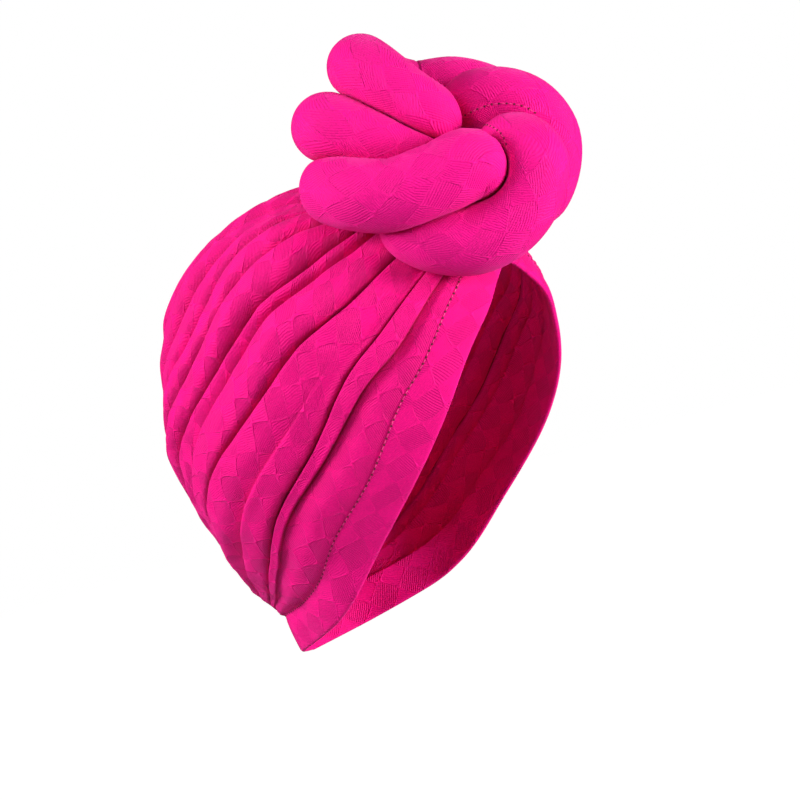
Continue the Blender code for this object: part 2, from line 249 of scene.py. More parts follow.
def knit_group():
    """Cells, ribs and outlines from a place on the cloth in millimetres. Height and Shade are both about 1.
    Shade holds the cells' own tone, painted shade in the rib grooves and a painted highlight on the outlines.
    """
    tree = bpy.data.node_groups.new("scale_knit", "ShaderNodeTree")
    tree.interface.new_socket("Cloth", in_out="INPUT", socket_type="NodeSocketVector")
    for name in KNIT_NUMBERS:
        tree.interface.new_socket(name, in_out="INPUT", socket_type="NodeSocketFloat")
    for name in ("Height", "Shade"):
        tree.interface.new_socket(name, in_out="OUTPUT", socket_type="NodeSocketFloat")
    given = tree.nodes.new("NodeGroupInput").outputs
    cloth = given["Cloth"]
    numbers = [Value(given[name]) for name in KNIT_NUMBERS]
    cell_across, cell_along, pitch, turn, spread, warp, edge, fill = numbers

    x, y, cell, field = knit_cells(tree, cloth, cell_across, cell_along, warp)
    ribbed = ramp(field, *cell_edge)
    plain = 1.0 - ribbed
    outline = ramp(field.math("ABSOLUTE"), *outline_edge, 1.0, 0.0)
    outline = outline * (edge * ramp(Value(noise(tree, cloth, 0.11, 1.0)), 0.40, 0.60, 0.12, 1.0))

    chance = node(tree, "ShaderNodeTexWhiteNoise", {"Vector": cell}, noise_dimensions="2D")
    chance = Value(chance.outputs["Value"])
    angle = turn + (chance - 0.5) * spread
    cosine, sine = angle.math("COSINE"), angle.math("SINE")
    along_rib, across_rib = y * cosine + x * sine, x * cosine - y * sine
    ribs, loops = ((way * full_turn / pitch).math("COSINE") * 0.5 + 0.5 for way in (along_rib, across_rib))

    height = ribbed * ((ribs + loops * loop_height) * 0.5)
    height = height + plain * (plain_height - fill * 0.15 + loops * (fill * 0.6)) + outline * outline_height
    # grooves marks the low part of the ribs, where the colour gets painted shade.
    grooves = ribbed * (1.0 - ribs) + plain * ((1.0 - loops) * fill)
    # The cells' own tone, less the painted groove shade, plus a painted highlight on the outlines and a random
    # tone.
    shade = 1.03 - ribbed * ribbed_tone - grooves * groove_painted_shade
    shade = shade + outline * outline_painted_highlight + (chance - 0.5) * chance_tone
    node(tree, "NodeGroupOutput", {"Height": height, "Shade": shade})
    return tree


scale_knit = knit_group()
print("knit group:", len(scale_knit.nodes), "nodes")

# %% Knit materials
CROWN_PINK = (0.830, 0.0020, 0.205)
ROLL_PINK = (0.810, 0.0030, 0.225)
SHEEN_PINK = (1.0, 0.15, 0.60, 1.0)
# At its strongest, the painted crease shade takes away this share of red, green and blue.
CREASE_PAINTED_SHADE = (0.62, 0.95, 0.88)
FINISH = {
    "Roughness": 0.66,
    "Sheen Weight": 0.24,
    "Sheen Roughness": 0.45,
    "Sheen Tint": SHEEN_PINK,
    "Specular IOR Level": 0.10,
}
knit_warp, bump_depth = 3.5, 0.0005
crown_cell, roll_cell = (15.5, 17.6), (16.4, 15.6)
rib_pitch, roll_rib_pitch = 1.00, 1.05
KNITS = {
    # colour, cell, rib, turn, spread, contrast, edge, relief, fill
    "crown_knit": (CROWN_PINK, crown_cell, rib_pitch, 0.5, 0.3, 1.0, 1.15, 0.90, 0.60),
    "band_knit": (CROWN_PINK, crown_cell, rib_pitch, 0.5, 0.3, 1.1, 0.80, 0.75, 0.50),
    "roll_knit": (ROLL_PINK, roll_cell, roll_rib_pitch, 0.6, 0.7, 0.75, 0.90, 0.80, 1.0),
}


def new_material(name):
    material = bpy.data.materials.new(name)
    material.use_nodes = True
    return material, material.node_tree, material.node_tree.nodes["Principled BSDF"]


def knit_material(name, colour, cell, rib, turn, spread, contrast, edge, relief, fill):
    """Stretch knit: the pink times the knit's shade, a slow cloudiness and a fine grain, less the painted
    crease shade, which takes more green and blue than red, with the knit's height and the grain as bump."""
    material, tree, shader = new_material(name)
    for where, value in FINISH.items():
        shader.inputs[where].default_value = value
    cloth = node(tree, "ShaderNodeUVMap", uv_map="cloth").outputs[0]
    numbers = dict(zip(KNIT_NUMBERS, (*cell, rib, turn, spread, knit_warp, edge, fill)))
    knit = node(tree, "ShaderNodeGroup", node_tree=scale_knit)
    tree.links.new(cloth, knit.inputs["Cloth"])
    for where, value in numbers.items():
        knit.inputs[where].default_value = value
    cloud = Value(noise(tree, cloth, 0.06, 2.0))
    grain = Value(noise(tree, cloth, 1.1, 2.0))
    shade = Value(knit.outputs["Shade"]).math("POWER", contrast) * ramp(cloud, 0.25, 0.75, 0.95, 1.05)
    shade = shade * ramp(grain, 0.3, 0.7, 0.93, 1.07)
    # Painted crease shade: the crease attribute darkens the colour near the fold valleys, more in green and
    # blue than in red.
    crease = node(tree, "ShaderNodeAttribute", attribute_name="crease").outputs["Fac"]
    left_after_painted_shade = vector(tree, "SUBTRACT", (1.0, 1.0, 1.0), vector(tree, "SCALE", CREASE_PAINTED_SHADE, crease))
    pink = vector(tree, "MULTIPLY", vector(tree, "SCALE", colour, shade), left_after_painted_shade)
    tree.links.new(pink, shader.inputs["Base Color"])
    height = Value(knit.outputs["Height"]) + grain * 0.35
    bump = node(tree, "ShaderNodeBump", {"Strength": relief, "Distance": bump_depth, "Height": height})
    tree.links.new(bump.outputs[0], shader.inputs["Normal"])
    return material


def plain_material(name, colour, roughness):
    """One colour with a fine noise in it, for thread and for the painted shade of the needle holes."""
    material, tree, shader = new_material(name)
    shader.inputs["Roughness"].default_value = roughness
    here = node(tree, "ShaderNodeTexCoord").outputs["Object"]
    shade = ramp(Value(noise(tree, here, 900.0, 1.0)), 0.3, 0.7, 0.85, 1.1)
    tree.links.new(vector(tree, "SCALE", colour, shade), shader.inputs["Base Color"])
    return material


crown_knit, band_knit, roll_knit = (knit_material(name, *row) for name, row in KNITS.items())
thread = plain_material("stitch_thread", (0.80, 0.07, 0.28), 0.6)
# The needle holes' dark colour is painted shade.
needle_hole_shade = plain_material("needle_hole_shade", (0.16, 0.0, 0.03), 0.9)
print("materials:", ", ".join(material.name for material in bpy.data.materials))

# %% [markdown]
# Tables of the cap's shape
#
# The named sizes and tables of the solid model, so that the cloth lies where the solids are. One table
# follows the face opening from the V under the knot to the nape; the other has a row for each valley between
# the folds. The dressed crown knows more of each valley: where it is at five places, how deep it is there, and
# how far the fold beside it laps over it.

# %% Sizes and tables
head_half_width = 0.076
head_half_length = 0.094
head_half_height = 0.091
cloth_wall = 0.0016
band_wall = 0.0028
roll_diameter = 0.0348
seat_depth = 0.0200

OPENING = [
    # round, edge_out, edge_back, edge_up, seam_out, seam_back, seam_up, crest_back, crest_up, wrap
    (0.00, 0.00, -0.94, 0.41, 0.00, -0.83, 0.66, -0.77, 0.74, 92),
    (0.06, 0.17, -0.94, 0.31, 0.33, -0.86, 0.42, -0.46, 0.98, 116),
    (0.14, 0.33, -0.93, 0.19, 0.55, -0.81, 0.25, -0.17, 1.00, 124),
    (0.25, 0.53, -0.84, 0.00, 0.72, -0.69, 0.04, 0.15, 1.05, 126),
    (0.38, 0.68, -0.68, -0.26, 0.84, -0.52, -0.15, 0.53, 1.03, 124),
    (0.52, 0.75, -0.43, -0.53, 0.88, -0.23, -0.46, 0.91, 0.76, 123),
    (0.66, 0.74, -0.09, -0.81, 0.86, 0.11, -0.71, 1.15, 0.34, 123),
    (0.80, 0.68, 0.31, -1.11, 0.74, 0.38, -0.92, 1.22, -0.17, 119),
    (0.92, 0.51, 0.66, -1.23, 0.52, 0.70, -1.03, 1.17, -0.66, 109),
    (0.97, 0.30, 0.92, -1.29, 0.28, 0.96, -1.08, 1.14, -0.88, 102),
    (1.00, 0.00, 1.04, -1.32, 0.00, 1.07, -1.10, 1.09, -1.08, 94),
]

VALLEY_PLACES = [0.0, 0.25, 0.5, 0.75, 1.0]
VALLEYS = [
    # across at five places, depth at five places (1 reaches the base), lap, softness, reach, next fold's lift
    (-1.000, -1.000, -1.000, -1.000, -1.000, 1.0, 1.0, 1.0, 1.0, 1.0, 0.0, 0.10, 0.30, 0.13),
    (-0.915, -0.912, -0.889, -0.855, -0.829, 0.9, 1.0, 1.1, 1.0, 0.8, -1.0, 0.90, 0.55, 0.46),
    (-0.848, -0.853, -0.857, -0.826, -0.784, 1.3, 1.3, 1.3, 1.3, 1.0, 1.2, 0.10, 0.25, 0.29),
    (-0.800, -0.805, -0.790, -0.722, -0.640, 0.0, 0.0, 0.2, 0.5, 0.6, 0.5, 0.90, 0.45, 0.44),
    (-0.710, -0.735, -0.704, -0.596, -0.470, 1.0, 1.1, 1.2, 1.2, 0.8, 1.1, 0.10, 0.22, 0.44),
    (-0.545, -0.604, -0.602, -0.511, -0.400, 1.5, 1.4, 0.8, 0.3, 0.5, 0.5, 1.00, 0.62, 0.54),
    (-0.448, -0.550, -0.556, -0.445, -0.325, 1.1, 1.2, 1.1, 0.7, 0.7, 1.2, 0.10, 0.34, 0.62),
    (-0.355, -0.442, -0.490, -0.350, -0.250, 1.0, 1.0, 1.2, 1.2, 0.8, 1.1, 0.10, 0.42, 0.64),
    (-0.275, -0.345, -0.432, -0.270, -0.185, 1.0, 1.2, 0.8, 0.7, 0.8, 0.9, 0.40, 0.40, 0.60),
    (-0.195, -0.255, -0.368, -0.190, -0.120, 1.0, 1.0, 1.2, 1.0, 0.8, 0.9, 0.10, 0.36, 0.56),
    (-0.120, -0.185, -0.265, -0.115, -0.050, 1.0, 0.8, 1.0, 1.2, 0.8, 0.8, 0.30, 0.42, 0.54),
    (-0.040, -0.095, -0.160, -0.040, 0.010, 1.0, 1.1, 0.8, 1.0, 0.8, 0.5, 0.10, 0.36, 0.54),
    (0.050, 0.005, -0.045, 0.045, 0.070, 1.0, 0.9, 1.1, 0.8, 0.8, -0.5, 0.10, 0.40, 0.54),
    (0.140, 0.105, 0.080, 0.130, 0.130, 1.0, 1.1, 0.8, 1.1, 0.8, -0.8, 0.30, 0.42, 0.56),
    (0.230, 0.215, 0.200, 0.215, 0.200, 1.0, 0.9, 1.2, 0.7, 0.8, -0.9, 0.70, 0.50, 0.54),
    (0.320, 0.310, 0.315, 0.300, 0.280, 1.0, 1.1, 0.9, 1.2, 0.8, -1.0, 0.10, 0.34, 0.58),
    (0.410, 0.415, 0.420, 0.385, 0.360, 1.1, 1.0, 1.1, 0.8, 0.8, -1.1, 0.10, 0.34, 0.56),
    (0.510, 0.525, 0.525, 0.480, 0.450, 1.0, 1.2, 0.6, 1.0, 0.7, -1.0, 1.00, 0.60, 0.54),
    (0.610, 0.630, 0.605, 0.580, 0.550, 1.3, 1.2, 1.1, 0.5, 0.6, -0.9, 0.40, 0.36, 0.48),
    (0.740, 0.735, 0.720, 0.690, 0.650, 1.0, 1.1, 1.2, 1.2, 0.7, -1.1, 0.10, 0.26, 0.36),
    (0.800, 0.800, 0.785, 0.745, 0.700, 0.0, 0.0, 0.2, 0.5, 0.6, -0.5, 0.90, 0.45, 0.44),
    (0.850, 0.855, 0.850, 0.820, 0.780, 1.3, 1.3, 1.3, 1.2, 0.9, -1.2, 0.10, 0.28, 0.44),
    (0.920, 0.914, 0.895, 0.872, 0.850, 0.6, 0.8, 1.0, 0.9, 0.6, 0.9, 0.90, 0.50, 0.16),
    (1.000, 1.000, 1.000, 1.000, 1.000, 1.0, 1.0, 1.0, 1.0, 1.0, 0.0, 0.10, 0.30, 0.00),
]
VALLEYS = np.array(VALLEYS)


def column(table, index, at):
    """A smooth curve through one column of a table: cubic Hermite pieces whose slopes are the rise over the run
    between each row's neighbours."""
    rows = np.array(table, float)
    x, y = rows[:, 0], rows[:, index]
    slope = np.gradient(y, x)
    at = np.asarray(at, float)
    k = np.clip(np.searchsorted(x, at, side="right") - 1, 0, len(x) - 2)
    run = x[k + 1] - x[k]
    t = (at - x[k]) / run
    start = (1 + 2 * t) * (1 - t) ** 2 * y[k] + t * (1 - t) ** 2 * run * slope[k]
    end = t * t * (3 - 2 * t) * y[k + 1] + t * t * (t - 1) * run * slope[k + 1]
    return start + end


def opening_line(first, at):
    """The edge (first column 1) or the seam (4) of the face opening on the wearer's right, where out is -X."""
    out, back, up = (column(OPENING, first + i, at) for i in range(3))
    return np.stack([-out * head_half_width, back * head_half_length, up * head_half_height], -1)


def crown_base(across, along):
    """The crown before its folds: above the chord between the two seams, an arc that swings by the wrap angle
    each way from the crest, across its width by the sine and up its height by the cosine."""
    seam = opening_line(4, along)
    chord = seam * [0.0, 1.0, 1.0]
    crest_back = column(OPENING, 7, along) * head_half_length
    crest_up = column(OPENING, 8, along) * head_half_height
    crest = np.stack([0 * along, crest_back, crest_up], -1)
    wrap = np.radians(column(OPENING, 9, along))
    swing = across * wrap
    height = (np.cos(swing) - np.cos(wrap)) / (1 - np.cos(wrap))
    points = chord + (crest - chord) * height[..., None]
    points[..., 0] = -seam[..., 0] * np.sin(swing) / np.sin(wrap)
    return points


def unit(vectors):
    return vectors / np.maximum(np.linalg.norm(vectors, axis=-1, keepdims=True), 1e-12)


def reach_along(line):
    """Distance along a line of points from its first point."""
    return np.concatenate([[0], np.cumsum(np.linalg.norm(np.diff(line, axis=0), axis=-1))])


def soft_noise(x, y, seed):
    """Smooth random hills from -1 to 1: a seeded lattice of heights with an eased blend between its corners."""
    lattice = np.random.default_rng(seed).uniform(-1, 1, (64, 64))
    x, y = np.broadcast_arrays(np.asarray(x, float), np.asarray(y, float))
    i, j = np.floor(x).astype(int), np.floor(y).astype(int)
    a, b = x - i, y - j
    a, b = a * a * (3 - 2 * a), b * b * (3 - 2 * b)
    near = lattice[i % 64, j % 64] * (1 - a) + lattice[(i + 1) % 64, j % 64] * a
    far = lattice[i % 64, (j + 1) % 64] * (1 - a) + lattice[(i + 1) % 64, (j + 1) % 64] * a
    return near * (1 - b) + far * b


# %% [markdown]
# From grids to pieces
#
# Every surface ends as a list of points and faces. A small helper puts them in a mesh, gives each face corner
# its place on the cloth in millimetres, and ties the piece to the solid that it dresses.

# %% Piece helper


def dress(name, points, faces, cloth, materials, replaces=(), which=None, crease=None):
    """A mesh from points (n, 3), a list of face arrays, and cloth places for each face corner in the same
    order; which gives each face's material, and crease how much painted crease shade each point gets, from 0 to
    1."""
    mesh = bpy.data.meshes.new(name)
    mesh.from_pydata(points.tolist(), [], [f for block in faces for f in block.tolist()])
    for material in materials:
        mesh.materials.append(material)
    layer = mesh.uv_layers.new(name="cloth")
    layer.data.foreach_set("uv", np.concatenate([c.reshape(-1) for c in cloth]).astype(np.float32))
    # The crease attribute holds the strength of the painted crease shade.
    if crease is not None:
        mesh.attributes.new("crease", "FLOAT", "POINT").data.foreach_set("value", crease.astype(np.float32))
    if which is not None:
        mesh.polygons.foreach_set("material_index", which.astype(np.int32))
    mesh.polygons.foreach_set("use_smooth", np.ones(len(mesh.polygons), bool))
    mesh.update()
    piece = bpy.data.objects.new(name, mesh)
    scene.collection.objects.link(piece)
    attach(piece, "root")
    if replaces:
        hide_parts(*replaces)
    mesh.calc_loop_triangles()
    print(name, len(mesh.loop_triangles), "triangles")
    return piece


# %% [markdown]
# The crown
#
# On the real cap the crown is one cloth, gathered tightly at the knot and at the nape, so its folds are thin
# ridges that lap over each other like roof tiles. A pleat modifier or a cloth simulation would give folds of
# its own choosing. Here each valley is a cusp cut into a smooth swollen surface: it falls off steeply on the
# side of the fold that laps over it and gently on the other side, and the lapping fold is also pushed across.

# %% Crown grid
along_rows, across_steps = 241, 14
crown_start, crown_end, end_crowding = 0.006, 0.9985, 0.04
slow_sway, quick_sway, column_crowding = 0.010, 0.004, 0.09


def places_table(first, along):
    """Each valley's value at each row: a smooth curve through the five numbers that start at column first."""
    table = np.column_stack([VALLEY_PLACES, VALLEYS[:, first:first + 5].T])
    return np.stack([column(table, i + 1, along) for i in range(len(VALLEYS))])


def crown_addresses():
    """Across and along of each grid point: the columns follow the valleys and crowd near them."""
    along = 0.5 - 0.5 * np.cos(np.linspace(end_crowding, np.pi - end_crowding, along_rows))
    along = crown_start + (crown_end - crown_start) * along
    along[0], along[-1] = crown_start, crown_end
    valleys = places_table(0, along)
    order = np.arange(len(VALLEYS))[:, None]
    inner = np.sin(np.pi * (valleys + 1) / 2)
    sway = slow_sway * soft_noise(order * 3.7, along * 7.0, 5)
    sway = sway + quick_sway * soft_noise(order * 2.9, along * 19.0, 6)
    valleys = valleys + inner * sway
    step = np.linspace(0, 1, across_steps, endpoint=False)
    step = step - column_crowding * np.sin(2 * np.pi * step)
    across = valleys[:-1, None, :] + np.diff(valleys, axis=0)[:, None, :] * step[None, :, None]
    across = np.vstack([across.reshape(-1, along_rows), valleys[-1:]])
    return across, along


def reach_across(points):
    """Distance along each row of a grid from its first column."""
    steps = np.linalg.norm(np.diff(points, axis=0), axis=-1)
    return np.vstack([np.zeros((1, points.shape[1])), np.cumsum(steps, axis=0)])


def grid_normals(points):
    return unit(np.cross(np.gradient(points, axis=0), np.gradient(points, axis=1)))


# %% Crown folds
steep_width, steep_share = 0.0024, 0.22
push_most, push_share = 0.0017, 0.11
# How far the painted crease shade reaches: short on the lapping side, longer on the gentle flank.
painted_shade_edge, painted_shade_flank, painted_shade_share = 0.0016, 0.0095, 0.65


def fold_swell(reach, at_valley, along):
    """The smooth folds: the middle of each fold is lifted by a share of its width, and the rise runs straight
    from middle to middle. Gives the rise of each fold, of each grid point, and at each valley."""
    rise = VALLEYS[:-1, 13][:, None] * np.diff(at_valley, axis=0)
    rise = rise * (1 - 0.14 * np.clip((along - 0.55) / 0.25, 0, 1))
    rise = rise * (1 + 0.16 * soft_noise(np.arange(len(rise))[:, None] * 2.3, along * 9.0, 11))
    middles = np.vstack([at_valley[:1], (at_valley[1:] + at_valley[:-1]) / 2, at_valley[-1:]])
    heights = np.vstack([0 * rise[:1], rise, 0 * rise[:1]])

    def between_middles(places):
        lines = zip(places.T, middles.T, heights.T)
        return np.stack([np.interp(*line) for line in lines], -1)
    return rise, between_middles(reach), between_middles(at_valley)


def valley_cuts(reach, at_valley, along, at_swell, from_seam):
    """What each valley does near it, by the distance to it. The cut is a circle's quarter or a smooth step,
    short and steep on the lapping side. The lapping fold is pushed across. Painted shade darkens the colour
    towards it."""
    depth = places_table(5, along)
    lap, softness, gentle = (VALLEYS[:, i][:, None, None] for i in (10, 11, 12))
    width = np.diff(at_valley, axis=0)
    before, after = np.vstack([width[:1], width])[:, None], np.vstack([width, width[-1:]])[:, None]
    away = reach[None] - at_valley[:, None]
    room = np.where(away < 0, before, after)
    steep = np.minimum(steep_width, room * steep_share)
    leading = np.where(lap >= 0, away < 0, away > 0) & (lap != 0)
    near = np.clip(1 - np.abs(away) / np.where(leading, steep, gentle * room), 0, 1)
    soft = np.where(leading, 0.0, softness)
    wall = (1 - soft) * (1 - np.sqrt(1 - near**2)) + soft * near**2 * (3 - 2 * near)
    cut = ((depth * at_swell)[:, None] * wall).sum(axis=0)
    shoulder = np.exp(-((away + np.sign(lap) * steep * 0.8) / (steep * 0.8)) ** 2)
    push = lap * np.minimum(push_most, room * push_share) * np.clip(depth, 0, 1)[:, None] * shoulder
    push = push.sum(axis=0)
    # Painted crease shade: strongest at each valley, fading in from the seam and weaker near the nape.
    painted_shade_reach = np.where(leading, painted_shade_edge, np.minimum(painted_shade_flank, room * painted_shade_share))
    flank = np.clip(1 - np.abs(away) / painted_shade_reach, 0, 1)
    strength = np.clip(depth, 0, 1.2)[:, None] * np.clip(from_seam / 0.006, 0, 1)
    strength = strength * (1 - 0.8 * np.clip((along - 0.66) / 0.20, 0, 1))
    crease = np.clip((strength * (0.38 * flank**1.5 + 0.62 * flank**8)).max(axis=0), 0, 1)
    return cut, push, crease


# %% Crown surface
valley_sink = 0.0020
dent_depth, dent_along, dent_across = 0.0042, 0.37, -0.08
seam_phase, cell_height = 0.0038, 0.00011
long_wrinkle, short_wrinkle = 0.00065, 0.00030
pucker_height, pucker_pitch = 0.0005, 0.0034


def fine_relief(reach, long_way, along, from_seam, narrowest):
    """Small heights: the knit's cells, long and short wrinkles, and puckers along the seam at the nape."""
    wave_across = np.cos((from_seam - seam_phase) * 2000 * np.pi / crown_cell[0])
    wave_along = np.cos(long_way * 2000 * np.pi / crown_cell[1])
    fine = cell_height * (wave_across + wave_along)
    fine += long_wrinkle * soft_noise(reach / 0.0085, long_way / 0.040, 21)
    fine += short_wrinkle * soft_noise(reach / 0.0040, long_way / 0.010, 22)
    fine *= np.clip((reach[-1] - 0.02) / 0.1, 0, 1) * np.clip(narrowest / 0.004, 0, 1)
    near_nape = np.clip((along - 0.80) / 0.08, 0, 1) * np.clip((0.985 - along) / 0.02, 0, 1)
    puckers = np.exp(-(from_seam / 0.006) ** 2) * near_nape * np.cos(long_way * 2 * np.pi / pucker_pitch)
    return fine + pucker_height * puckers


def crown_surface():
    """Outer face, inner face, and how much painted crease shade each point gets. The outer face is the base
    plus swell, less cut and sink, along its normals; the inner face follows half of each fold, a wall deeper."""
    across, along = crown_addresses()
    base = crown_base(across, np.broadcast_to(along, across.shape))
    normal, sideways = grid_normals(base), unit(np.gradient(base, axis=0))
    reach, long_way = reach_across(base), reach_across(base.transpose(1, 0, 2)).T
    from_seam = np.minimum(reach, reach[-1] - reach)
    at_valley = reach[::across_steps]
    rise, swell, at_swell = fold_swell(reach, at_valley, along)
    cut, push, crease = valley_cuts(reach, at_valley, along, at_swell, from_seam)
    fine = fine_relief(reach, long_way, along, from_seam, np.diff(at_valley, axis=0).min(axis=0))
    rim = np.clip(from_seam / 0.003, 0, 1)
    dent = dent_depth * np.exp(-(((along - dent_along) / 0.075) ** 2) - ((across - dent_across) / 0.30) ** 2)
    sink = valley_sink * np.clip(from_seam / 0.02, 0, 1) + dent
    height = (swell - cut + fine - sink) * rim - 0.0003 * (1 - rim)
    outer = base + normal * height[..., None] + sideways * push[..., None]
    fold = np.concatenate([np.tile(np.arange(across_steps) / across_steps, len(rise)), [0.0]])
    ridge = np.sin(np.pi * fold)[:, None] * np.vstack([np.repeat(rise, across_steps, axis=0), 0 * rise[:1]])
    inner = base + normal * (0.50 * ridge - sink - cloth_wall)[..., None]
    return outer, inner, crease


# %% Crown piece


def grid_quads(grid):
    """The corners of each cell of a grid of indices."""
    return np.stack([grid[:-1, :-1], grid[1:, :-1], grid[1:, 1:], grid[:-1, 1:]], -1).reshape(-1, 4)


def shell_faces(rows, columns):
    """Quads of an outer grid, quads of an inner grid with half as many points each way, and the rim of
    triangles that joins them. Each block is (faces, places in the outer grid of each corner)."""
    index = np.arange(rows * columns).reshape(rows, columns)
    coarse = index[::2, ::2]
    inside = np.arange(coarse.size).reshape(coarse.shape) + rows * columns
    inwards = [0, 3, 2, 1]

    def border(grid):
        return np.concatenate([grid[:-1, 0], grid[-1, :-1], grid[:0:-1, -1], grid[0, :0:-1]])
    ring = border(index)
    a, b, c = ring[0::2], ring[1::2], np.roll(ring, -2)[0::2]

    def rim(under):
        d, e = under, np.roll(under, -1)
        return np.concatenate([np.stack(three, -1) for three in ((a, d, b), (b, d, e), (b, e, c))])
    outer = grid_quads(index)
    inner = grid_quads(inside)[:, inwards], grid_quads(coarse)[:, inwards]
    return [(outer, outer), inner, (rim(border(inside)), rim(border(coarse)))]


outer, inner, crown_painted_shade = crown_surface()
rows, columns = outer.shape[:2]
cloth_across = reach_across(outer)
cloth_along = reach_across(outer.transpose(1, 0, 2)).T
from_right = np.stack([cloth_across - seam_phase, cloth_along], -1).reshape(-1, 2) * 1000
from_left = np.stack([cloth_across[-1] - cloth_across - seam_phase, cloth_along], -1).reshape(-1, 2) * 1000
parting_valley = 11
blocks = shell_faces(rows, columns)
crown_cloth = []
for _, shown in blocks:
    on_left = (shown // columns).min(axis=1) >= parting_valley * across_steps
    crown_cloth.append(np.where(on_left[:, None, None], from_left[shown], from_right[shown]))
crown_points = np.concatenate([outer.reshape(-1, 3), inner[::2, ::2].reshape(-1, 3)])
# Painted crease shade on the outer face only.
crown_painted_shade = np.concatenate([crown_painted_shade.reshape(-1), np.zeros(inner[::2, ::2, 0].size)])
crown = dress("crown_cloth", crown_points, [faces for faces, _ in blocks], crown_cloth, [crown_knit],
              ["crown"], crease=crown_painted_shade)
patches = np.linalg.norm(np.cross(np.diff(outer[:, :-1], axis=0), np.diff(outer[:-1], axis=1)), axis=-1)
print("crown cloth:", round(float(cloth_across[-1].max()), 3), "m over the folds,",
      round(float(cloth_along[:, -1].max()), 3), "m long,", round(float(patches.sum()), 3), "square metres")

# %% [markdown]
# The band
#
# The hem is the same knit, folded double and stitched down about 17 mm from the fold. It is a flat loop whose
# cross-section is a thin pill: one profile, carried round the face opening, with the fold at the face side.

# %% Band
band_rounds, band_turns, seam_overlap = 420, 40, 0.0009
band_bulge, band_wave = 0.0007, 0.00045


def band_section(turn):
    """A thin pill, as (share of the width from the seam, share of the wall outwards): along the outer face,
    round the folded edge, back along the inner face, and round the seam end."""
    knots = np.array([0.0, 0.05, 0.40, 0.50, 0.60, 0.95, 0.98, 1.0])
    width = np.interp(turn, knots, [0.005, 0.02, 0.94, 1.0, 0.94, 0.03, 0.0, 0.0])
    round_edge = np.clip((width - 0.90) / 0.10, 0, 1)
    tuck = 0.5 * (1 - np.sqrt(1 - round_edge**2))
    wall = np.where(turn < 0.5, -tuck, -1 + tuck)
    wall = np.interp(turn, [0.0, 0.03, 0.06], [-0.10, -0.01, 0.0]) + wall
    wall = np.where(turn > 0.95, np.interp(turn, [0.95, 0.98, 1.0], [-1.0, -0.9, -0.16]), wall)
    return width, wall


def band_surface():
    """Points of the band, how far each is from the seam, and the length along the seam of each round. The seam
    and the edge run down the wearer's right and, mirrored, back up the left."""
    half = 0.5 - 0.5 * np.cos(np.linspace(0, np.pi, band_rounds // 2 + 1))
    at = np.concatenate([half, half[-2:0:-1]])
    side = np.where(np.arange(len(at)) < len(half), 1.0, -1.0)[:, None] * [1.0, 0.0, 0.0] + [0.0, 1.0, 1.0]
    edge, seam = opening_line(1, at) * side, opening_line(4, at) * side
    turn = np.linspace(0, 1, band_turns, endpoint=False)
    turn = turn - 0.045 * np.sin(4 * np.pi * turn)
    width, wall = band_section(turn)
    chord = unit(edge - seam)
    way = unit(np.roll(edge + seam, -1, axis=0) - np.roll(edge + seam, 1, axis=0))
    out = unit(np.cross(way, chord))
    out = out * np.sign((out * (edge + seam) / 2).sum(-1).mean())
    size = np.linalg.norm(edge - seam, axis=-1)
    distance = reach_along(seam)
    spread = width[None] * (size[:, None] + seam_overlap) - seam_overlap
    lift = wall * band_wall + band_bulge * np.sin(np.pi * np.clip(width, 0, 1))
    points = seam[:, None] + chord[:, None] * spread[..., None] + out[:, None] * lift[None, :, None]
    wave = band_wave * soft_noise(distance[:, None] / 0.020, width * 1.5, 31) * (width > 0.15)
    points = points + out[:, None] * wave[..., None]
    return points, spread, distance


# %% Band piece
band_points, band_spread, band_distance = band_surface()
rows, columns = band_points.shape[:2]
index = np.arange(rows * columns).reshape(rows, columns)


def corners(first, next_row, next_column, opposite):
    """The four values at the corners of each quad, in the order of its points."""
    return np.stack([first, next_row, opposite, next_column], -1)


def looped_corners(grid):
    """The corners of each quad of a grid that closes on itself both ways."""
    next_row = np.roll(grid, -1, axis=0)
    return corners(grid, next_row, np.roll(grid, -1, axis=1), np.roll(next_row, -1, axis=1))


band_faces = looped_corners(index).reshape(-1, 4)
closing = np.linalg.norm(band_points[-1, 0] - band_points[0, 0])
round_trip = np.append(band_distance, band_distance[-1] + closing)
from_knot = np.stack([round_trip[:-1], round_trip[1:]], -1)
on_right = np.arange(rows)[:, None] < rows // 2
from_knot = np.where(on_right, from_knot, round_trip[-1] - from_knot)[:, None].repeat(columns, 1)
corner_along = corners(from_knot[..., 0], from_knot[..., 1], from_knot[..., 0], from_knot[..., 1])
corner_across = -seam_phase - looped_corners(band_spread)
band_cloth = np.stack([corner_across, corner_along], -1).reshape(-1, 2) * 1000
first_corner, row_step, column_step = band_points[:-1, :-1], band_points[1:, :-1], band_points[:-1, 1:]
facing = np.cross(row_step - first_corner, column_step - first_corner)
outwards = float((facing * (band_points - band_points.mean(axis=1, keepdims=True))[:-1, :-1]).sum())
if outwards < 0:
    band_faces = band_faces[:, ::-1]
    band_cloth = band_cloth.reshape(-1, 4, 2)[:, ::-1]
band_rings = band_points.reshape(-1, 3)
band = dress("band_hem", band_rings, [band_faces], [band_cloth], [band_knit], ["band"])
print("band:", round(float(round_trip[-1]), 3), "m round the seam")

# %% [markdown]
# The stitches
#
# A running stitch shows as short bits of thread between small needle holes, whose shade is painted as flat dark
# discs. Thread and hole are always the same, so one template of both is copied along a line of points, turned
# to the line's way and normal.

# %% Stitches
stitch_pitch, stitch_share = 0.0033, 0.26
thread_radius, thread_rise = 0.00020, 0.2
# The flat dark ball that paints the shade of a needle hole.
hole_radius, hole_flatness = 0.00056, 0.45


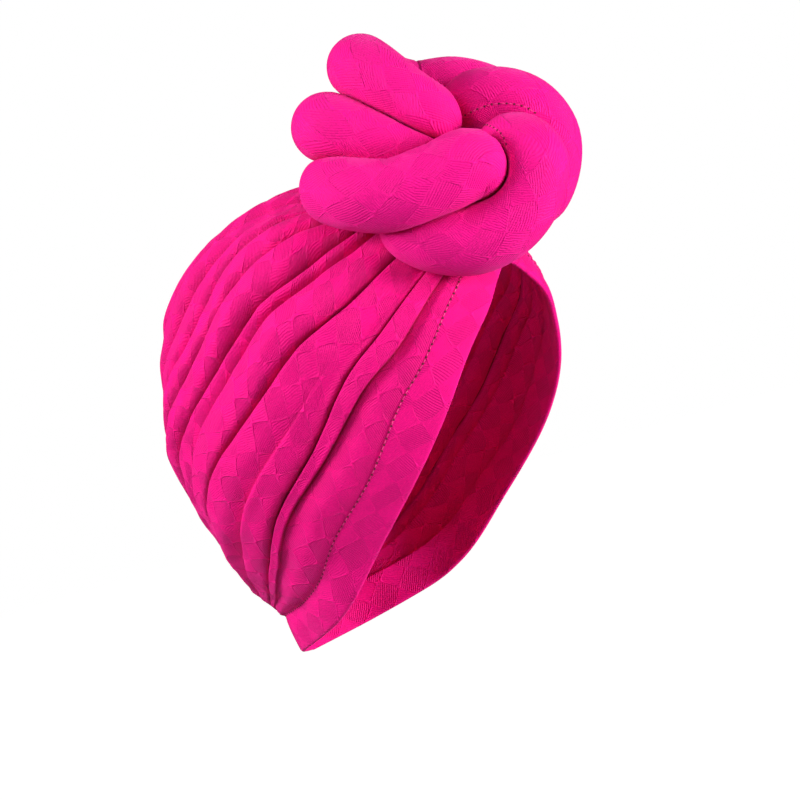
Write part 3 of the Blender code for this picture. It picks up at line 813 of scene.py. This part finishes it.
def ball(rounds, sides):
    """Points, quads and triangles of a ball of radius 1: rings between two poles."""
    tilt = np.linspace(0, np.pi, rounds + 1)[1:-1, None]
    turn = np.arange(sides) * 2 * np.pi / sides
    rings = np.stack([np.cos(tilt) + 0 * turn, np.sin(tilt) * np.cos(turn), np.sin(tilt) * np.sin(turn)], -1)
    points = np.concatenate([rings.reshape(-1, 3), [[1, 0, 0], [-1, 0, 0]]])
    index = np.arange(rings[..., 0].size).reshape(-1, sides)
    ahead = np.roll(index, -1, axis=1)
    quads = np.stack([index[:-1], index[1:], ahead[1:], ahead[:-1]], -1).reshape(-1, 4)
    first = np.stack([np.full(sides, index.size), index[0], ahead[0]], -1)
    last = np.stack([np.full(sides, index.size + 1), ahead[-1], index[-1]], -1)
    return points, quads, np.concatenate([first, last])


def stitch_places(line, normals):
    """The middle of each stitch on a line of points, and its three axes: along, sideways and outwards."""
    reach = reach_along(line)
    count = int(reach[-1] / stitch_pitch)
    at = (np.arange(count) + 0.5) * reach[-1] / count

    def sample(values, where):
        return np.stack([np.interp(where, reach, values[:, i]) for i in range(3)], -1)
    way = unit(sample(line, at + 0.0008) - sample(line, at - 0.0008))
    outward = sample(normals, at)
    outward = unit(outward - way * (outward * way).sum(-1, keepdims=True))
    return sample(line, at), np.stack([way, np.cross(outward, way), outward], 1)


def stitch_row(name, line, normals):
    """Thread and holes along a line of points: a long ball and, half a stitch on, a flat dark one that paints
    the shade in the needle hole.
    """
    middles, axes = stitch_places(line, normals)
    points, quads, triangles = ball(6, 6)
    stitch = points * [stitch_pitch * stitch_share, thread_radius, thread_radius]
    stitch = stitch + [0, 0, thread_radius * thread_rise]
    hole = points * [hole_radius, hole_radius, hole_radius * hole_flatness] + [stitch_pitch / 2, 0, 0]
    template = np.concatenate([stitch, hole])
    places = middles[:, None] + np.einsum("pk,skc->spc", template, axes)
    size, span = len(points), len(template)
    starts = np.arange(len(middles))[:, None, None] * span
    faces = [(np.concatenate([f, f + size]) + starts).reshape(-1, f.shape[1]) for f in (quads, triangles)]
    is_hole = np.concatenate([(f[:, 0] % span) >= size for f in faces])
    cloth = [np.zeros(f.shape + (2,)) for f in faces]
    return dress(name, places.reshape(-1, 3), faces, cloth, [thread, needle_hole_shade], which=is_hole)


seam_line = band_points[:, 3]
seam_way = np.roll(seam_line, -1, axis=0) - np.roll(seam_line, 1, axis=0)
seam_normals = unit(np.cross(band_points[:, 5] - band_points[:, 2], seam_way))
from_inside = seam_line - band_points[:, columns * 3 // 4]
seam_normals = seam_normals * np.sign((seam_normals * from_inside).sum(-1, keepdims=True))
closed_line, closed_normals = (np.vstack([rows, rows[:1]]) for rows in (seam_line, seam_normals))
stitch_row("band_stitches", closed_line, closed_normals)

# %% [markdown]
# The knot
#
# Stuffed rolls press flat against each other where they meet. A metaball blend would melt them together, so
# each roll is a tube whose spokes are shortened until they stay on its own side of the halfway surface to
# every other roll, and above the crown. Then the spoke lengths are evened out a little, as filling would.

# %% Knot routes
knot_turn, knot_rise, knot_lean = np.radians([-54.0, 1.0, 18.2])
KNOT_CENTRE = (-0.21, -0.87, 1.00)
ROLLS = {
    "knot_roll_lower": [
        # along, up, out, girth
        (0.44, -0.56, 0.10, 0.80),
        (0.57, -0.37, 0.48, 0.96),
        (0.40, -0.18, 0.72, 1.00),
        (-0.05, -0.37, 0.85, 1.00),
        (-0.66, -0.58, 0.80, 1.00),
        (-1.18, -0.55, 0.60, 0.98),
        (-1.44, -0.46, 0.22, 0.96),
        (-1.22, -0.40, -0.18, 0.90),
        (-0.80, -0.36, -0.30, 0.78),
    ],
    "knot_roll_middle": [
        (-0.04, -0.20, 0.02, 0.78),
        (-0.18, -0.10, 0.10, 0.92),
        (-0.54, 0.05, 0.12, 1.00),
        (-1.08, 0.21, 0.16, 1.00),
        (-1.46, 0.35, 0.06, 0.98),
        (-1.56, 0.42, -0.34, 0.96),
        (-1.32, 0.44, -0.92, 0.98),
        (-0.76, 0.32, -1.28, 1.00),
        (-0.10, 0.08, -1.38, 1.00),
        (0.48, -0.16, -1.32, 1.00),
        (0.88, -0.38, -1.16, 0.92),
        (1.00, -0.54, -0.84, 0.76),
    ],
    "knot_roll_upper": [
        (0.05, 0.32, -0.20, 0.76),
        (-0.08, 0.41, 0.00, 0.92),
        (-0.57, 0.76, 0.08, 0.96),
        (-0.96, 1.10, -0.10, 0.94),
        (-1.10, 1.26, -0.66, 0.92),
        (-0.88, 1.10, -1.18, 0.94),
        (-0.38, 0.94, -1.42, 1.00),
        (0.22, 0.99, -1.42, 1.00),
        (0.78, 0.78, -1.34, 1.00),
        (1.18, 0.30, -1.24, 0.94),
        (1.22, -0.02, -0.98, 0.76),
    ],
    "knot_loop_front": [
        (-0.74, -0.84, 0.18, 0.72),
        (-0.46, -0.98, 0.36, 0.90),
        (-0.06, -1.10, 0.50, 1.00),
        (0.42, -1.12, 0.58, 1.00),
        (0.86, -0.88, 0.60, 1.00),
        (1.12, -0.48, 0.56, 1.00),
        (1.16, -0.08, 0.50, 1.00),
        (1.04, 0.06, 0.38, 0.98),
        (0.84, 0.07, 0.16, 0.92),
        (0.70, 0.00, -0.14, 0.74),
    ],
    "knot_loop_top": [
        (0.10, 0.52, -0.80, 0.76),
        (0.34, 0.68, -0.66, 0.96),
        (0.76, 0.76, -0.56, 1.00),
        (1.14, 0.64, -0.52, 1.00),
        (1.38, 0.34, -0.52, 1.00),
        (1.38, -0.14, -0.52, 1.00),
        (1.18, -0.54, -0.50, 0.98),
        (0.94, -0.78, -0.44, 0.80),
    ],
}
roll_step, roll_spokes = 0.0022, 64
roll_gap, seat_gap = 0.0004, 0.0008


def roll_route(rows, step):
    """A smooth line through a roll's rows, with a point every step: centres and half girths."""
    rows = np.array(rows, float)
    centre = np.array(KNOT_CENTRE) * [head_half_width, head_half_length, head_half_height]
    points = centre + rows[:, :3] * roll_diameter @ leaning_axes(knot_turn, knot_rise, knot_lean)
    reach = reach_along(points)
    table = np.column_stack([reach, points, rows[:, 3] * roll_diameter / 2])
    curve = np.stack([column(table, i, np.linspace(0, reach[-1], 600)) for i in range(1, 5)], -1)
    run = reach_along(curve[:, :3])
    at = np.linspace(0, run[-1], int(run[-1] / step) + 1)
    return np.stack([np.interp(at, run, curve[:, i]) for i in range(4)], -1)


def carried_frames(centres):
    """Two directions across a line at each of its points, turned as little as the line itself turns."""
    tangent = unit(np.gradient(centres, axis=0))
    side = np.cross(tangent[0], [0.0, 0.0, 1.0])
    sides = []
    for direction in tangent:
        side = unit(side - direction * (side @ direction))
        sides.append(side)
    sides = np.array(sides)
    return tangent, sides, np.cross(tangent, sides)


def distance_to_route(points, route):
    """How far each point lies outside a roll: its distance to the nearest stretch of the roll's line less the
    half girth there."""
    start, step = route[:-1, :3], np.diff(route[:, :3], axis=0)
    share = np.einsum("pkc,kc->pk", points[:, None] - start, step) / (step**2).sum(1)
    share = np.clip(share, 0, 1)
    nearest = start + share[..., None] * step
    girth = route[:-1, 3] + share * np.diff(route[:, 3])
    return (np.linalg.norm(points[:, None] - nearest, axis=-1) - girth).min(axis=1)


# %% Roll shapes
seat_grid = outer[::4, ::4]
seat_index = np.arange(seat_grid[..., 0].size).reshape(seat_grid.shape[:2])
seat_tree = BVHTree.FromPolygons(seat_grid.reshape(-1, 3).tolist(), grid_quads(seat_index).tolist())


def height_over(points, tree):
    """How far each point lies above the crown: less than nothing just under its face."""
    found = [tree.find_nearest(p, seat_depth) for p in points.tolist()]
    near = np.array([f[0] is not None for f in found])
    height = np.full(len(points), seat_depth)
    if near.any():
        place = np.array([f[0] for f in found if f[0] is not None])
        facing = np.array([f[1] for f in found if f[0] is not None])
        away = points[near] - place
        height[near] = np.linalg.norm(away, axis=1) * np.where((away * facing).sum(1) < 0, -1, 1)
    return height


def evened(shares, times):
    """The spoke lengths after each has moved towards the mean of its neighbours, never longer than it was."""
    out = shares.copy()
    for _ in range(times):
        padded = np.vstack([out[:1], out, out[-1:]])
        mean = (padded[:-2] + padded[2:] + np.roll(out, 1, axis=1) + np.roll(out, -1, axis=1)) / 4
        out = np.minimum(shares, 0.5 * out + 0.5 * mean)
    return out


# %% Roll surfaces
wrinkle_pitch, wrinkle_depth, sharp_bend, unevenness = 0.0085, 0.0022, 0.30, 0.010


def roll_arms(route):
    """The spokes of a full roll: its girth, rounded at the ends and a little uneven, and drawn in by wrinkles
    on the inside of sharp bends."""
    tangent, side, other_side = carried_frames(route[:, :3])
    reach = np.arange(len(route)) * roll_step
    end = np.minimum(reach, reach[-1] - reach) / route[:, 3]
    full = route[:, 3] * np.sqrt(1 - (1 - np.clip(end + 0.02, 0, 1)) ** 2)
    angle = np.arange(roll_spokes) * 2 * np.pi / roll_spokes
    spoke = side[:, None] * np.cos(angle)[None, :, None] + other_side[:, None] * np.sin(angle)[None, :, None]
    bend = np.gradient(tangent, axis=0) / roll_step
    inside = np.einsum("kac,kc->ka", spoke, bend) * route[:, 3][:, None]
    wander = 2.0 * soft_noise(reach / 0.03, 0 * reach, 41)
    wrinkle = (0.5 + 0.5 * np.cos(reach * 2 * np.pi / wrinkle_pitch + wander))[:, None] ** 3
    crease = np.clip(inside - sharp_bend, 0, 0.5) * wrinkle
    uneven = 1 + unevenness * soft_noise(reach[:, None] / 0.024, angle[None] * 1.6, 43)
    body = full[:, None] * uneven - wrinkle_depth * crease
    return spoke * body[..., None], tangent, reach


def roll_surface(name, route, coarse):
    """Rings of a roll. Each spoke's share of its full length is halved in on: a point is free while it lies
    above the crown and nearer to its own roll than to any other."""
    full_arms, tangent, reach = roll_arms(route)
    arms = full_arms.reshape(-1, 3)
    centres = np.repeat(route[:, None, :3], roll_spokes, axis=1).reshape(-1, 3)
    low, high = np.zeros(len(arms)), np.ones(len(arms))
    for _ in range(11):
        middle = (low + high) / 2
        points = centres + arms * middle[:, None]
        own = distance_to_route(points, coarse[name])
        free = height_over(points, seat_tree) > seat_gap
        for other in coarse:
            if other != name:
                free &= distance_to_route(points, coarse[other]) - own > roll_gap
        low, high = np.where(free, middle, low), np.where(free, high, middle)
    shares = evened(low.reshape(len(route), roll_spokes), 6)
    rings = centres.reshape(full_arms.shape) + full_arms * shares[..., None]
    return rings, tangent, reach


# %% Roll faces


def roll_faces(count, spokes):
    """Quads between a roll's rings, and a fan of triangles at each end, whose point comes after the rings."""
    index = np.arange(count * spokes).reshape(count, spokes)
    ahead = np.roll(index, -1, axis=1)
    walls = np.stack([index[:-1], ahead[:-1], ahead[1:], index[1:]], -1).reshape(-1, 4)
    start = np.stack([np.full(spokes, index.size), ahead[0], index[0]], -1)
    end = np.stack([np.full(spokes, index.size + 1), index[-1], ahead[-1]], -1)
    return [walls, start, end]


def roll_cloth(length, turn):
    """The corners of those faces on the cloth: along the roll, and round it."""
    near, here = np.meshgrid(length[:-1], turn[:-1], indexing="ij")
    far, ahead = np.meshgrid(length[1:], turn[1:], indexing="ij")
    walls = np.stack([np.stack([near, near, far, far], -1), np.stack([here, ahead, ahead, here], -1)], -1)
    here, ahead = turn[:-1], turn[1:]
    start = np.stack([np.full((len(here), 3), length[0]), np.stack([here, ahead, here], -1)], -1)
    end = np.stack([np.full((len(here), 3), length[-1]), np.stack([here, here, ahead], -1)], -1)
    return [walls, start, end]


# %% Roll pieces
cells_round, coarse_step, tip_length = 7, 0.0072, 0.0006
ROLL_SEAMS = {
    # first ring, last ring, and the spoke at each
    "knot_loop_top": (4, 20, 3.0, -2.0),
    "knot_loop_front": (43, 52, -10.5, -2.0),
}


def stitch_roll(name, rings, route):
    """Seam stitches on a roll: the line runs from ring to ring and drifts from one spoke to another."""
    first_ring, last_ring, first_spoke, last_spoke = ROLL_SEAMS[name]
    ring = np.arange(first_ring, last_ring + 1)
    spoke = np.interp(ring, [first_ring, last_ring], [first_spoke, last_spoke])
    below = np.floor(spoke).astype(int)
    share = (spoke - below)[:, None]
    line = rings[ring, below % roll_spokes] * (1 - share) + rings[ring, (below + 1) % roll_spokes] * share
    stitch_row(name + "_stitches", line, unit(line - route[ring, :3]))


coarse_routes = {name: roll_route(rows, coarse_step) for name, rows in ROLLS.items()}
around = np.arange(roll_spokes + 1) / roll_spokes * cells_round * roll_cell[1]
for name, rows in ROLLS.items():
    route = roll_route(rows, roll_step)
    rings, tangent, reach = roll_surface(name, route, coarse_routes)
    tips = route[[0, -1], :3] + tangent[[0, -1]] * [[-tip_length], [tip_length]]
    points = np.concatenate([rings.reshape(-1, 3), tips])
    cloth = roll_cloth(reach * 1000, around)
    roll = dress(name + "_cover", points, roll_faces(*rings.shape[:2]), cloth, [roll_knit], [name])
    if name in ROLL_SEAMS:
        stitch_roll(name, rings, route)
